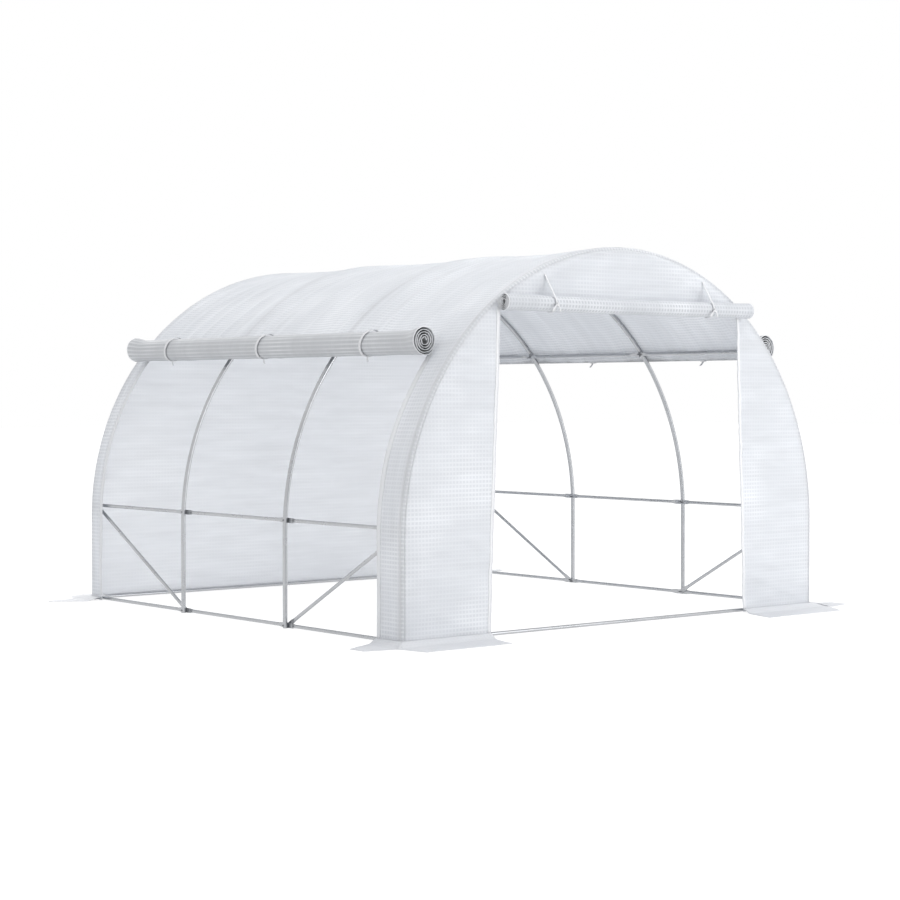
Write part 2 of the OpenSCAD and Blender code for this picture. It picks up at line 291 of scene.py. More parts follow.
def joints_of_the_frame():
    """(place on the arch, way inwards, layers of flat tube under the bolt, bare outside) for each bolt."""
    for k, y in enumerate(HOOP_Y):
        at_end = k in (0, len(HOOP_Y) - 1)
        rail_layers = 1 if at_end else 2
        for side in (-1, 1):
            rows = ((WAIST_A, 3 if at_end else 2, not at_end), (EAVE_RAIL_A, rail_layers, False))
            for angle, layers, bare in rows:
                out = Vector((side * math.cos(angle), 0, math.sin(angle)))
                yield Vector((0, y, SPRING_Z)) + ARCH_R * out, -out, layers, bare
            foot = Vector((side * ARCH_R, y, GROUND_Z))
            yield foot, Vector((-side, 0, 0)), 2 if at_end else 3, not at_end
        yield Vector((0, y, SPRING_Z + ARCH_R)), Vector((0, 0, -1)), rail_layers, False


fixings, fixing_ids = fixing_group()
plated = galvanised_steel("plated_bolts", PLATED_DULL, PLATED_BRIGHT)
joints = list(joints_of_the_frame())
nut_places = [
    place + inwards * (TUBE_D / 2 + layers * (TAB_T + TAB_GAP)) for place, inwards, layers, _ in joints
]
wing_nuts = facing_points("wing_nuts", nut_places, [inwards for _, inwards, _, _ in joints])
heads = [(place - inwards * TUBE_D / 2, -inwards) for place, inwards, _, bare in joints if bare]
bolt_heads = facing_points("bolt_heads", *zip(*heads))
for obj, radius, height, wings in ((wing_nuts, NUT_R, NUT_H, 1), (bolt_heads, HEAD_R, HEAD_H, 0)):
    sizes = {"Bolt radius": BOLT_R, "Nut radius": radius, "Nut height": height, "Wings": wings}
    run_group(obj, fixings, fixing_ids, {**sizes, "Material": plated})
    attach(obj, "root")

# Cover: one translucent white sheet with a woven grid of stronger threads, laid over the hoops, taut
# round the end hoops and sagging in each bay. Its two ends run on down to the ground as strips.
WRAP_GAP = 0.0018
SHEET_T = 0.0010
HEM_Z = 0.006
SAG_FREE = 0.023
SAG_ON_RAIL = 0.016
SAG_FROM = 0.4
RAIL_HOLD_A = 0.17
HOOP_GRIP = (0.012, 0.07)
FOLD_DEPTH = 0.0095
FOLDS_PER_M = 6.5
FOLD_RUN = 0.55
FOLD_SEED = 4.2
FOLD_SHARP = 1.5
FOLD_MEAN = 0.35
FOLD_WANDER = (0.5, 1.6, 1.3, 2.7)
CRINKLES = (0.0012, 16, 3.2, 9.1)
CREASE_NARROW = 2.2
WELD = 1e-5
GRID_STEP = 0.012
WRAP_ROWS = 7
LEG_ROWS = 24
EAVE_ROWS = 42
ROOF_ROWS = 116
THREAD_PITCH = 0.0216
THREAD_SHARE = 0.30
CELL_WHITE = (0.80, 0.817, 0.845, 1)
THREAD_WHITE = (0.945, 0.957, 0.978, 1)
PASSES_LIGHT = 0.45
COVER_WEFT = 0.6
COVER_FAINTEST = 0.45
STREAKS_PER_M = (2.5, 22, 1)
CRINKLES_PER_M = 28
CRINKLE_TWIST = 0.6
PATCHES_PER_M = 2.3
PATCH_EDGE = (0.44, 0.68)
WORN_SHARE = (0.945, 1.0)
SHEET_ROUGH = (0.42, 0.58)
SHEET_GLOSS = 0.35
WEAVE_BUMP = 0.35
WEAVE_DEPTH = 0.0012

WRAP_R = TUBE_D / 2 + WRAP_GAP
SHEET_R = ARCH_R + WRAP_R
roof_low, roof_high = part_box("roof_cover")
EAVE_A = math.asin((roof_low.z - SPRING_Z) / (roof_high.z - SPRING_Z))
FRONT_STRIP_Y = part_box("front_left_strip")[1].y
BACK_STRIP_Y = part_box("back_left_strip")[0].y


def mixed_colour(tree, share, first, second):
    """A colour between two. A mix node has its two colours as inputs 6 and 7, and the result as output 2."""
    return shade(tree, "ShaderNodeMix", {0: share, 6: first, 7: second}, data_type="RGBA").outputs[2]


def ripstop(name, cell, thread, passes_light, warp=1.0, weft=1.0, faintest=0.3):
    """Sheet with a grid of white threads, read from the piece's own map of the flat cut, in metres;
    warp and weft say how plainly the threads at even places along its X and along its Y show, and
    faintest is the share of that in the patches where they show least."""
    material, tree, surface = blank_material(name)
    cut = shade(tree, "ShaderNodeUVMap", uv_map="cut").outputs["UV"]
    parts = shade(tree, "ShaderNodeSeparateXYZ", {"Vector": cut})
    bands = []
    for axis, shown in (("X", warp), ("Y", weft)):
        turns = maths(tree, "MULTIPLY", parts.outputs[axis], 1 / THREAD_PITCH)
        off = maths(tree, "SUBTRACT", maths(tree, "FRACT", turns), 0.5)
        band = shade(
            tree,
            "ShaderNodeMapRange",
            {
                "Value": maths(tree, "ABSOLUTE", off),
                "From Min": 0.5 - THREAD_SHARE,
                "From Max": 0.5 - THREAD_SHARE / 3,
                "To Max": shown,
            },
            interpolation_type="SMOOTHSTEP",
        )
        bands.append(band.outputs["Result"])
    woven = maths(tree, "MAXIMUM", *bands)
    drawn = shade(tree, "ShaderNodeMapping", {"Vector": cut, "Scale": STREAKS_PER_M}).outputs["Vector"]
    clouds = shade(tree, "ShaderNodeTexNoise", {"Vector": drawn, "Scale": 1, "Detail": 4})
    crinkled = {"Vector": cut, "Scale": CRINKLES_PER_M, "Detail": 4, "Distortion": CRINKLE_TWIST}
    crinkle = shade(tree, "ShaderNodeTexNoise", crinkled).outputs["Fac"]
    patches = shade(tree, "ShaderNodeTexNoise", {"Vector": cut, "Scale": PATCHES_PER_M, "Detail": 3})
    plain = ranged(tree, patches.outputs["Fac"], (faintest, 1.0), PATCH_EDGE)
    weave = mixed_colour(tree, maths(tree, "MULTIPLY", woven, plain), cell, thread)
    worn = ranged(tree, clouds.outputs["Fac"], WORN_SHARE)
    white = shade(tree, "ShaderNodeVectorMath", {0: weave, 1: worn}, operation="MULTIPLY").outputs[0]
    normal = bumped(tree, maths(tree, "ADD", crinkle, woven), WEAVE_BUMP, WEAVE_DEPTH)
    finish = {
        "Base Color": white,
        "Roughness": ranged(tree, crinkle, SHEET_ROUGH),
        "Specular IOR Level": SHEET_GLOSS,
        "Normal": normal,
    }
    film = shade(tree, "ShaderNodeBsdfPrincipled", finish)
    glow = shade(tree, "ShaderNodeBsdfTranslucent", {"Color": white, "Normal": normal})
    both = shade(
        tree, "ShaderNodeMixShader", {0: passes_light, 1: film.outputs["BSDF"], 2: glow.outputs["BSDF"]}
    )
    tree.links.new(both.outputs["Shader"], surface)
    return material


def ripple(u, v, seed):
    """Smooth noise from -1 to 1 on arrays of places."""
    return np.vectorize(lambda a, b: noise.noise(Vector((a, b, seed))))(u, v)


def waves(u, v, kind):
    """Smooth noise of one kind: its height, how fast it changes along u and along v, and its seed."""
    height, per_u, per_v, seed = kind
    return height * ripple(u * per_u, v * per_v, seed)


def crease(u, v, seed, sharp):
    """Narrow raised lines, from 0 to 1, where smooth noise crosses nought."""
    return np.clip(1 - CREASE_NARROW * np.abs(ripple(u, v, seed)), 0, 1) ** sharp


def hump(values, middle, width):
    return np.exp(-(((values - middle) / width) ** 2))


def soft_step(values, low, high):
    share = np.clip((values - low) / (high - low), 0, 1)
    return share * share * (3 - 2 * share)


def grid_of(rows, columns):
    """Pairs of values, one from each list, on a grid."""
    return np.stack(np.meshgrid(rows, columns, indexing="ij"), axis=-1)


def lay_sheet(name, points, cut, material, thick, keep=None):
    """A sheet through a grid of points, its flat cut in metres as its map, with its thickness added."""
    rows, columns = points.shape[:2]
    index = np.arange(rows * columns).reshape(rows, columns)
    quads = np.stack([index[:-1, :-1], index[:-1, 1:], index[1:, 1:], index[1:, :-1]], axis=-1)
    quads = quads[keep] if keep is not None else quads.reshape(-1, 4)
    used, faces = np.unique(quads, return_inverse=True)
    mesh = bpy.data.meshes.new(name)
    mesh.from_pydata(points.reshape(-1, 3)[used].tolist(), [], faces.reshape(-1, 4).tolist())
    layer = mesh.uv_layers.new(name="cut")
    layer.data.foreach_set("uv", cut.reshape(-1, 2)[quads.ravel()].astype(np.float32).ravel())
    shape = bmesh.new()
    shape.from_mesh(mesh)
    bmesh.ops.remove_doubles(shape, verts=shape.verts, dist=WELD)
    bmesh.ops.dissolve_degenerate(shape, edges=shape.edges, dist=WELD / 10)
    shape.to_mesh(mesh)
    shape.free()
    mesh.shade_smooth()
    mesh.materials.append(material)
    obj = bpy.data.objects.new(name, mesh)
    bpy.context.collection.objects.link(obj)
    wall = obj.modifiers.new("thickness", "SOLIDIFY")
    wall.thickness = thick
    wall.offset = 0.0
    return obj


def arch_point(angle_or_height, radius, y):
    """Points of the cover: below nought the first value is how far down the left leg, from nought to
    half a turn it is the angle over the arch, and past that how far down the right leg."""
    turn = np.clip(angle_or_height, 0, math.pi)
    drop = np.where(angle_or_height < 0, -angle_or_height, np.maximum(angle_or_height - math.pi, 0))
    x = -radius * np.cos(turn)
    z = SPRING_Z + radius * np.sin(turn) - drop
    return np.stack(np.broadcast_arrays(x, y, z), axis=-1)


def sheet_dip(turn, y):
    """How far the cover hangs in from its taut shape, in metres."""
    bay = np.clip(np.floor((y - HOOP_Y[0]) / BAY), 0, len(HOOP_Y) - 2)
    share = np.clip((y - HOOP_Y[0]) / BAY - bay, 0, 1)
    held = sum(hump(turn, a, RAIL_HOLD_A) for a in (EAVE_RAIL_A, math.pi / 2, math.pi - EAVE_RAIL_A))
    low_a = EAVE_A * SAG_FROM
    over_roof = soft_step(turn, low_a, EAVE_A) * soft_step(math.pi - turn, low_a, EAVE_A)
    sag = 4 * share * (1 - share) * (SAG_FREE + (SAG_ON_RAIL - SAG_FREE) * np.clip(held, 0, 1)) * over_roof
    free = soft_step(np.min([np.abs(y - hoop) for hoop in HOOP_Y], axis=0), *HOOP_GRIP)
    slant = y * FOLDS_PER_M + waves(turn, y, FOLD_WANDER)
    folds = crease(slant, turn * FOLD_RUN, FOLD_SEED, FOLD_SHARP) - FOLD_MEAN
    return sag - free * (FOLD_DEPTH * folds + waves(y, turn, CRINKLES))


def cover_points(around, along, turn_in=0.0, lift=0.0):
    turn, y = np.meshgrid(around, along, indexing="ij")
    return arch_point(turn, SHEET_R - (sheet_dip(turn, y) + turn_in) + lift, y)


def run_round(around):
    """Length of sheet round the arch, from the spring line."""
    return np.where(
        (around >= 0) & (around <= math.pi),
        around * SHEET_R,
        np.where(around < 0, around, math.pi * SHEET_R + around - math.pi),
    )


wrap = np.linspace(0, math.pi / 2, WRAP_ROWS)
runs = sorted([*HOOP_Y, FRONT_STRIP_Y, BACK_STRIP_Y])
along = [np.array(runs), HOOP_Y[0] - WRAP_R * np.sin(wrap[::-1]), HOOP_Y[-1] + WRAP_R * np.sin(wrap)]
for start, stop in zip(runs, runs[1:]):
    steps = max(2, round((stop - start) / GRID_STEP))
    along.append(np.linspace(start, stop, steps, endpoint=False)[1:])
along = np.unique(np.concatenate(along))
beyond = np.clip(np.maximum(HOOP_Y[0] - along, along - HOOP_Y[-1]) / WRAP_R, 0, 1)
turn_in = WRAP_R * (1 - np.sqrt(1 - beyond**2))
leg = np.linspace(SPRING_Z - HEM_Z, 0, LEG_ROWS)[:-1]
below = np.linspace(0, EAVE_A, EAVE_ROWS)[:-1]
over = np.linspace(EAVE_A, math.pi - EAVE_A, ROOF_ROWS)
around = np.concatenate([-leg, below, over, math.pi - below[::-1], math.pi + leg[::-1]])

ripstop_white = ripstop(
    "ripstop_cover", CELL_WHITE, THREAD_WHITE, PASSES_LIGHT, weft=COVER_WEFT, faintest=COVER_FAINTEST
)
cell_turn, cell_y = np.meshgrid((around[1:] + around[:-1]) / 2, (along[1:] + along[:-1]) / 2, indexing="ij")
is_roof = (cell_turn > EAVE_A) & (cell_turn < math.pi - EAVE_A)
kept_cells = is_roof | (cell_y < FRONT_STRIP_Y) | (cell_y > BACK_STRIP_Y)
cover_cut = grid_of(run_round(around), along)
cover = lay_sheet(
    "cover", cover_points(around, along, turn_in), cover_cut, ripstop_white, SHEET_T, kept_cells
)
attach(cover, "root")
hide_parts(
    "roof_cover", "front_left_strip", "front_right_strip", "back_left_strip", "back_right_strip"
)

# Hems of the strips: the free edge of each strip is turned over and sewn down, so that it is double
# and passes less light.
HEM_W = 0.026
HEM_OVER = 0.001
HEM_COLUMNS = 5
HEM_LIFT = 0.0011
HEM_WHITE = (0.875, 0.888, 0.91, 1)
HEM_PASSES_LIGHT = 0.30

hem_white = ripstop("hem", HEM_WHITE, HEM_WHITE, HEM_PASSES_LIGHT)
left_strip = around[: len(leg) + len(below) + 1]
STRIPS = {"left": left_strip, "right": (math.pi - left_strip)[::-1]}
for name, edge, way in (("front", FRONT_STRIP_Y, -1), ("back", BACK_STRIP_Y, 1)):
    hem_y = np.sort(edge + way * np.linspace(-HEM_OVER, HEM_W, HEM_COLUMNS))
    for side, strip in STRIPS.items():
        hem_points = cover_points(strip, hem_y, lift=HEM_LIFT)
        hem_cut = grid_of(run_round(strip), hem_y)
        hem = lay_sheet(f"{name}_{side}_strip_hem", hem_points, hem_cut, hem_white, SHEET_T)
        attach(hem, "root")

# Seam band: round the front hoop the edges of the cover and the front wall are turned in and sewn, so
# that the sheet is doubled there and lets less light through. Its colours are darker than the cover's:
# painted shade of the hoop tube right behind it.
BAND_W = 0.012
BAND_COLUMNS = 6
BAND_SHADE_CELL = (0.78, 0.797, 0.825, 1)
BAND_SHADE_THREAD = (0.86, 0.873, 0.895, 1)
BAND_PASSES_LIGHT = 0.25

shaded_band_sheet = ripstop("ripstop_doubled_painted_shade", BAND_SHADE_CELL, BAND_SHADE_THREAD, BAND_PASSES_LIGHT)
band_y = np.linspace(HOOP_Y[0], HOOP_Y[0] + BAND_W, BAND_COLUMNS)
band_points = cover_points(around, band_y, lift=HEM_LIFT)
seam_band = lay_sheet(
    "front_seam_band", band_points, grid_of(run_round(around), band_y), shaded_band_sheet, SHEET_T
)
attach(seam_band, "root")

# Stitching: white sewing thread, one row of plain stitches along each strip hem and round the seam
# band, through both layers of the sheet.
STITCH_PITCH = 0.006
STITCH_L = 0.0045
STITCH_R = 0.0004
STITCH_IN = 0.004
STITCH_LIFT = HEM_LIFT + SHEET_T / 2 + STITCH_R / 3
ROD_SIDES = 6
SEWING_WHITE = (0.80, 0.808, 0.83, 1)
SEWING_ROUGH = 0.6


def row_group():
    """Small rods set on a line at an even pitch, as the teeth of a zip or the threads of a seam."""
    numbers = ("Pitch", "Radius", "Length", "Turn")
    tree, ids, given = new_group("rods_on_line", "Line", numbers, "Rods")
    curve = shade(tree, "GeometryNodeMeshToCurve", {"Mesh": given["Line"]}).outputs["Curve"]
    spaced = shade(
        tree, "GeometryNodeCurveToPoints", {"Curve": curve, "Length": given["Pitch"]}, mode="LENGTH"
    )
    rod = shade(
        tree,
        "GeometryNodeMeshCylinder",
        {"Vertices": ROD_SIDES, "Radius": given["Radius"], "Depth": given["Length"]},
    )
    out = shade(tree, "GeometryNodeInputNamedAttribute", {"Name": "facing"}, data_type="FLOAT_VECTOR")
    tangent = shade(
        tree, "FunctionNodeAlignRotationToVector", {"Vector": spaced.outputs["Tangent"]}, axis="Z"
    )
    faced = shade(
        tree,
        "FunctionNodeAlignRotationToVector",
        {"Rotation": tangent.outputs["Rotation"], "Vector": out.outputs["Attribute"]},
        axis="Y",
        pivot_axis="Z",
    )
    spin = shade(tree, "FunctionNodeAxisAngleToRotation", {"Axis": (0, 1, 0), "Angle": given["Turn"]})
    end_group(tree, spaced.outputs["Points"], rod.outputs["Mesh"], faced, spin, given["Material"])
    return tree, ids


rods_on_line, rod_ids = row_group()


def rod_rows(name, rows, values):
    """Rods along several lines, as one piece; each row is its line and the ways the surface faces there."""
    lines, ways = zip(*rows)
    starts = np.cumsum([0] + [len(line) for line in lines]).tolist()
    edges = [(k, k + 1) for start, stop in zip(starts, starts[1:]) for k in range(start, stop - 1)]
    rods = facing_points(name, np.concatenate(lines), np.concatenate(ways), edges)
    return run_group(rods, rods_on_line, rod_ids, values)


def sewn_along(turns, y):
    """A line round the doubled sheet, and which way the sheet faces along it."""
    line, over = (cover_points(turns, [y], lift=STITCH_LIFT + out)[:, 0] for out in (0, 1))
    return line, over - line


sewing_thread, tree, surface = blank_material("sewing_thread")
twist = shade(tree, "ShaderNodeBsdfPrincipled", {"Base Color": SEWING_WHITE, "Roughness": SEWING_ROUGH})
tree.links.new(twist.outputs["BSDF"], surface)
seams = [sewn_along(around, HOOP_Y[0] + BAND_W - STITCH_IN)]
for strip in STRIPS.values():
    seams.append(sewn_along(strip, FRONT_STRIP_Y - HEM_W + STITCH_IN))
    seams.append(sewn_along(strip, BACK_STRIP_Y + HEM_W - STITCH_IN))
sizes = {"Pitch": STITCH_PITCH, "Radius": STITCH_R, "Length": STITCH_L, "Turn": 0.0}
stitches = rod_rows("seam_stitches", seams, {**sizes, "Material": sewing_thread})
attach(stitches, "root")

# Front wall: the same sheet, sewn to the cover round the front hoop. The doorway is cut out of it, so
# that two panels hang beside the doorway and a gable closes the arch over it.
WALL_Y = HOOP_Y[0] - WRAP_R
DOOR_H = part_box("front_gable")[0].z
DOOR_TOP_X = (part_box("front_left_panel")[1].x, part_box("front_right_panel")[0].x)
DOOR_FOOT_X = (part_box("front_left_skirt")[1].x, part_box("front_right_skirt")[0].x)
TIE_W = 0.012
TIE_X = (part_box("door_ties")[0].x + TIE_W / 2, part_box("door_ties")[1].x - TIE_W / 2)
TIE_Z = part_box("door_ties")[1].z
TIE_PULL = 0.018
PULL_AT = (-0.015, -0.03)
PULL_SIZE = (0.055, 0.06)
PULL_RIM = 0.07
PANEL_FOOT_Z = 0.008
PANEL_FOLD = 0.0045
PANEL_FOLD_MEAN = 0.4
PANEL_GRIP = (0.005, 0.10)
SLACK_OUT = 0.004
PANEL_SLACK = (0.004, 1.3, 1.1, 1.4)
PANEL_CRINKLES = (0.0012, 5, 26, 8.8)
LONG_CREASES = (1.0, (1.5, 5.2), (1.7, 0), 6.6, 1.6)
SHORT_CREASES = (0.6, (-3.5, 9), (2, 1), 3.3, 1.6)
FOOT_ROWS = 34
BESIDE_ROWS = 80
GABLE_ROWS = 40
PANEL_COLUMNS = 40
DOOR_COLUMNS = 90
FRONT_WARP = 0.62
FRONT_WEFT = 0.8

ripstop_front = ripstop(
    "ripstop_front_wall", CELL_WHITE, THREAD_WHITE, PASSES_LIGHT, FRONT_WARP, FRONT_WEFT
)


def half_width(z):
    return np.sqrt(ARCH_R**2 - np.clip(z - SPRING_Z, 0, ARCH_R) ** 2)


def door_edge(side, z):
    """The doorway's edge at a height; over the doorway it follows the arch to the top."""
    foot, top = DOOR_FOOT_X[side], DOOR_TOP_X[side]
    beside = foot + (top - foot) * z / DOOR_H
    return np.where(z <= DOOR_H, beside, top * half_width(z) / half_width(np.float64(DOOR_H)))


def wall_creases(x, z, kind):
    """Creases of one kind on a hanging wall: their height, how fast they change across and along
    themselves for each metre of x and of z, their seed and how sharp they are."""
    height, across, along, seed, sharp = kind
    u, v = (x * per_x + z * per_z for per_x, per_z in (across, along))
    return height * crease(u, v, seed, sharp)


def wall_swell(x, z):
    """How far the front wall stands out from flat, in metres."""
    rim = half_width(z) - np.abs(x)
    slack = SLACK_OUT + waves(x, z, PANEL_SLACK)
    folds = wall_creases(x, z, LONG_CREASES) + wall_creases(x, z, SHORT_CREASES) - PANEL_FOLD_MEAN
    anchors = sum(
        hump(x, tie_x + PULL_AT[0], PULL_SIZE[0]) * hump(z, TIE_Z + PULL_AT[1], PULL_SIZE[1])
        for tie_x in TIE_X
    )
    drawn = TIE_PULL * anchors * soft_step(rim, 0, PULL_RIM)
    return soft_step(rim, *PANEL_GRIP) * (slack + PANEL_FOLD * folds + waves(x, z, PANEL_CRINKLES)) + drawn


head_turn = math.asin((DOOR_H - SPRING_Z) / ARCH_R)
wall_z = np.concatenate(
    [
        np.linspace(PANEL_FOOT_Z, SPRING_Z, FOOT_ROWS)[:-1],
        SPRING_Z + ARCH_R * np.sin(np.linspace(0, head_turn, BESIDE_ROWS)),
        SPRING_Z + ARCH_R * np.sin(np.linspace(head_turn, math.pi / 2, GABLE_ROWS)[1:]),
    ]
)
panel_share = np.linspace(0, 1, PANEL_COLUMNS)
door_share = np.linspace(0, 1, DOOR_COLUMNS)[1:-1]


def front_row(z):
    """Places across the front wall at a height: left panel, doorway and right panel."""
    reach = half_width(z)
    left, right = (float(door_edge(side, z)) for side in (0, 1))
    return np.concatenate(
        [
            -reach + (left + reach) * panel_share,
            left + (right - left) * door_share,
            right + (reach - right) * panel_share,
        ]
    )


wall_x = np.array([front_row(z) for z in wall_z])
wall_zz = np.repeat(wall_z[:, None], wall_x.shape[1], axis=1)
front_points = np.stack([wall_x, WALL_Y - wall_swell(wall_x, wall_zz), wall_zz], axis=-1)
below_head = wall_z[1:] <= DOOR_H + WELD
in_door = np.zeros(wall_x.shape[1] - 1, bool)
in_door[PANEL_COLUMNS - 1 : 1 - PANEL_COLUMNS] = True
front_cells = ~(below_head[:, None] & in_door[None])
front_wall = lay_sheet(
    "front_wall", front_points, np.stack([wall_x, wall_zz], axis=-1), ripstop_front, SHEET_T, front_cells
)
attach(front_wall, "root")
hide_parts("front_left_panel", "front_right_panel", "front_gable")

# Back wall: closed, in one piece, sewn to the cover round the back hoop. It hangs a little slack, with
# a few long creases.
BACK_FOLD = 0.004
BACK_FOLD_MEAN = 0.35
BACK_GRIP = (0.005, 0.12)
BACK_SLACK = (0.004, 1.1, 1.2, 5.9)
BACK_CREASES = (1.0, (-1.2, 4), (1.4, 0), 7.7, 1.5)
BACK_COLUMNS = 130
BACK_WARP = 0.35
BACK_WEFT = 0.6
BACK_CELL = (0.86, 0.872, 0.893, 1)
BACK_THREAD = (0.93, 0.94, 0.957, 1)
BACK_PASSES_LIGHT = 0.58

ripstop_back = ripstop(
    "ripstop_back_wall", BACK_CELL, BACK_THREAD, BACK_PASSES_LIGHT, BACK_WARP, BACK_WEFT
)
back_x = half_width(wall_z)[:, None] * np.linspace(1, -1, BACK_COLUMNS)[None]
back_zz = np.repeat(wall_z[:, None], BACK_COLUMNS, axis=1)
back_free = soft_step(half_width(back_zz) - np.abs(back_x), *BACK_GRIP)
back_folds = wall_creases(back_x, back_zz, BACK_CREASES) - BACK_FOLD_MEAN
back_out = back_free * (SLACK_OUT + waves(back_x, back_zz, BACK_SLACK) + BACK_FOLD * back_folds)
back_points = np.stack([back_x, HOOP_Y[-1] + WRAP_R + back_out, back_zz], axis=-1)
back_wall = lay_sheet(
    "back_wall", back_points, np.stack([back_x, back_zz], axis=-1), ripstop_back, SHEET_T
)
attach(back_wall, "root")
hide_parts("back_panel")

# Rolled side walls: the sheet between the strips, rolled up from the ground to the eave on each side
# and left hanging there in a soft roll that shows its laps at both ends. The right one has darker colours
# and passes less light: painted shade, for the shade of the cover that it hangs in.
ROLL_T = 0.0026
ROLL_TURNS = 4.9
ROLL_CORE_R = 0.011
ROLL_BODY = 1.0
ROLL_END = 1.16
FLARE_L = 0.11
ROLL_PLUMP = (0.016, 2.1, 0.15, 4.4)
ROLL_RIDGES = (0.0026, 0.55, 2.6, 7.3)
ROLL_SLIP = (0.006, 0.5, 0, 2.2)
ROLL_ROWS = 250
ROLL_COLUMNS = 84
ROLL_RIM = 0.006
RIM_STEPS = np.array([0, 1, 3, 8])
BODY_FROM = 14
ROLL_CELL = (0.53, 0.545, 0.57, 1)
ROLL_THREAD = (0.76, 0.775, 0.80, 1)
ROLL_PASSES_LIGHT = 0.14
# painted shade: the right roll's darker colours and lower translucency stand in for the shade it hangs in
SHADED_CELL = (0.34, 0.35, 0.37, 1)
SHADED_THREAD = (0.46, 0.47, 0.49, 1)
SHADED_PASSES_LIGHT = 0.06
ROLL_WEFT = 0.15
# painted shade: the grey of the inner laps of the rolls
INNER_SHADE_GREY = (0.42, 0.427, 0.44, 1)
INNER_PASSES_LIGHT = 0.05

rolled_white = {
    "left": ripstop("ripstop_rolled_left", ROLL_CELL, ROLL_THREAD, ROLL_PASSES_LIGHT, weft=ROLL_WEFT),
    "right": ripstop(
        "ripstop_rolled_right_painted_shade", SHADED_CELL, SHADED_THREAD, SHADED_PASSES_LIGHT, weft=ROLL_WEFT
    ),
}
rolled_inner_shade = ripstop("ripstop_inner_laps_painted_shade", INNER_SHADE_GREY, INNER_SHADE_GREY, INNER_PASSES_LIGHT)


def wound_section(outer_r, start_a, way, turns, count):
    """Angles and radii of the laps, from the outer end to the core, with the length of sheet so far."""
    angle = start_a + way * np.linspace(0, turns * 2 * math.pi, count)
    radius = np.linspace(outer_r, ROLL_CORE_R, count)
    step = np.hypot(np.diff(radius), np.diff(angle) * (radius[1:] + radius[:-1]) / 2)
    return angle, radius, np.concatenate([[0], np.cumsum(step)])


def spread_to_ends(length):
    """Places along a roll, close together at its two ends."""
    near = ROLL_RIM * RIM_STEPS
    first = ROLL_RIM * BODY_FROM
    return np.concatenate([near, np.linspace(first, length - first, ROLL_COLUMNS), length - near[::-1]])


def lap_grid(angle, radius, start, length, full_r, flare, kinds):
    """The laps of a roll on a grid: lap, place from its first end, place on its axis, radius, and share of
    the full radius to which it is open there. It is tight in its middle and opens at its ends; kinds are
    those of its slipped laps, its plump parts and its ridges."""
    slip_kind, plump_kind, ridge_kind = kinds
    body, end, flare_l = flare
    lap, place = np.meshgrid(np.arange(len(angle)), spread_to_ends(length), indexing="ij")
    at = start + place + waves(angle[lap], place, slip_kind) * (1 - 2 * place / length)
    open_r = end + (body - end) * soft_step(np.minimum(place, length - place), 0, flare_l)
    plump = 1 + waves(at, angle[lap], plump_kind)
    lap_r = np.minimum(radius[lap] * plump * open_r + waves(at, angle[lap], ridge_kind), full_r * end)
    return lap, place, at, lap_r, open_r


def shade_inner_laps(roll, first_lap, length):
    """The laps inside a roll get little light and take a darker grey as painted shade; at both ends the
    sheet's hem makes their rims whiter."""
    mesh = roll.data
    mesh.materials.append(rolled_inner_shade)
    mesh.materials.append(hem_white)
    corners = np.empty(len(mesh.loops) * 2, np.float32)
    mesh.uv_layers["cut"].data.foreach_get("uv", corners)
    first = np.empty(len(mesh.polygons), np.int32)
    mesh.polygons.foreach_get("loop_start", first)
    used, along = corners.reshape(-1, 2)[first].T
    hemmed = (along < ROLL_RIM / 2) | (along > length - ROLL_RIM * 1.5)
    mesh.polygons.foreach_set("material_index", np.where(hemmed, 2, used > first_lap).astype(np.int32))


for side, way in (("left", -1), ("right", 1)):
    low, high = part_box(f"{side}_side_roll")
    middle = (low + high) / 2
    outer_r = (high.z - low.z) / 2 - ROLL_T / 2
    length = high.y - low.y
    to_arch = math.atan2(SPRING_Z - middle.z, -middle.x)
    angle, radius, used = wound_section(outer_r, to_arch, way, ROLL_TURNS, ROLL_ROWS)
    kinds = [(*kind, seed + way) for *kind, seed in (ROLL_SLIP, ROLL_PLUMP, ROLL_RIDGES)]
    lap, place, roll_y, lap_r, open_r = lap_grid(
        angle, radius, low.y, length, outer_r, (ROLL_BODY, ROLL_END, FLARE_L), kinds
    )
    stand_off = outer_r * (open_r - ROLL_BODY)
    roll_x = middle.x - stand_off * math.cos(to_arch) + lap_r * np.cos(angle[lap])
    roll_z = middle.z - stand_off * math.sin(to_arch) + lap_r * np.sin(angle[lap])
    roll_points = np.stack([roll_x, roll_y, roll_z], axis=-1)
    roll_cut = np.stack([used[lap], place], axis=-1)
    roll = lay_sheet(f"{side}_rolled_wall", roll_points, roll_cut, rolled_white[side], ROLL_T)
    shade_inner_laps(roll, 2 * math.pi * outer_r, length)
    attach(roll, "root")
    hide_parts(f"{side}_side_roll")

# Straps: flat white webbing sewn to the cover's lower edge, taken round each roll at three places and
# tied off underneath, where a short tail hangs down.
STRAPS = 3
STRAP_W = 0.020
STRAP_T = 0.0016
STRAP_SLANT = 0.045
STRAP_LOOSE = 0.015
STRAP_GAP = 0.0012
STRAP_OPEN_A = math.radians(17)
STRAP_ROWS = 72
STRAP_TAIL_GAP = 0.001
STRAP_TAIL_CURL = 0.012
STRAP_TAIL_LEAN = 0.5
STRAP_TAIL_ACROSS = (0.2, 0.98, 0)
STRAP_TAIL_ROWS = 8
TAIL_SHARE = 0.9
RIBBON_COLUMNS = 5
WEBBING_WHITE = (0.72, 0.727, 0.745, 1)
# painted shade: the darker colour in the grooves between the ribs
WEBBING_GROOVE_SHADE = (0.57, 0.58, 0.60, 1)
WEBBING_ROUGH = 0.7
RIB_PITCH = 0.0022
RIB_TOP = 0.6
RIB_BUMP = 0.5
RIB_DEPTH = 0.0004


